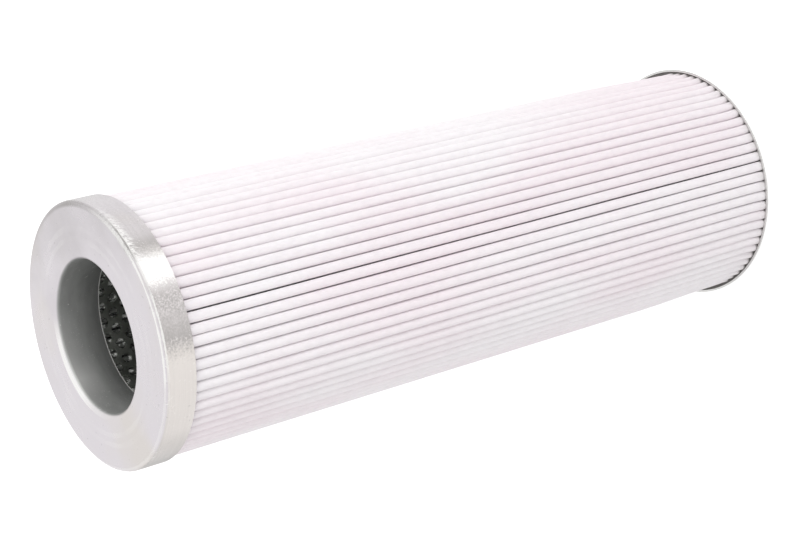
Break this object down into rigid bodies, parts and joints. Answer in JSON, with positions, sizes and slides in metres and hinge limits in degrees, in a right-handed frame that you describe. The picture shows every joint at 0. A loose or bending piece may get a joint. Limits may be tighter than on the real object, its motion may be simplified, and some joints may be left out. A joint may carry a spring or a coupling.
{
  "type": "pleated filter element",
  "caption": "Cylindrical pleated hydraulic filter element with a perforated steel core, an open pressed steel cap with a drawn collar, and a closed cap.",
  "frame": {"origin": "centre of the closed cap's outer face, on the surface that the element stands on", "axes": "+Z along the element's axis, from the closed cap to the open cap"},
  "size_m": [0.098, 0.098, 0.291],
  "materials": {
    "cap_steel": "zinc plated, satin",
    "core_steel": "plain perforated sheet",
    "filter_media": "soft nonwoven",
    "adhesive": "cured resin"
  },
  "bodies": {
    "root": {"top_end_cap": "cap_steel", "bottom_end_cap": "cap_steel", "support_tube": "core_steel", "pleated_media": "filter_media", "top_adhesive": "adhesive", "bottom_adhesive": "adhesive"}
  },
  "joints": []
}
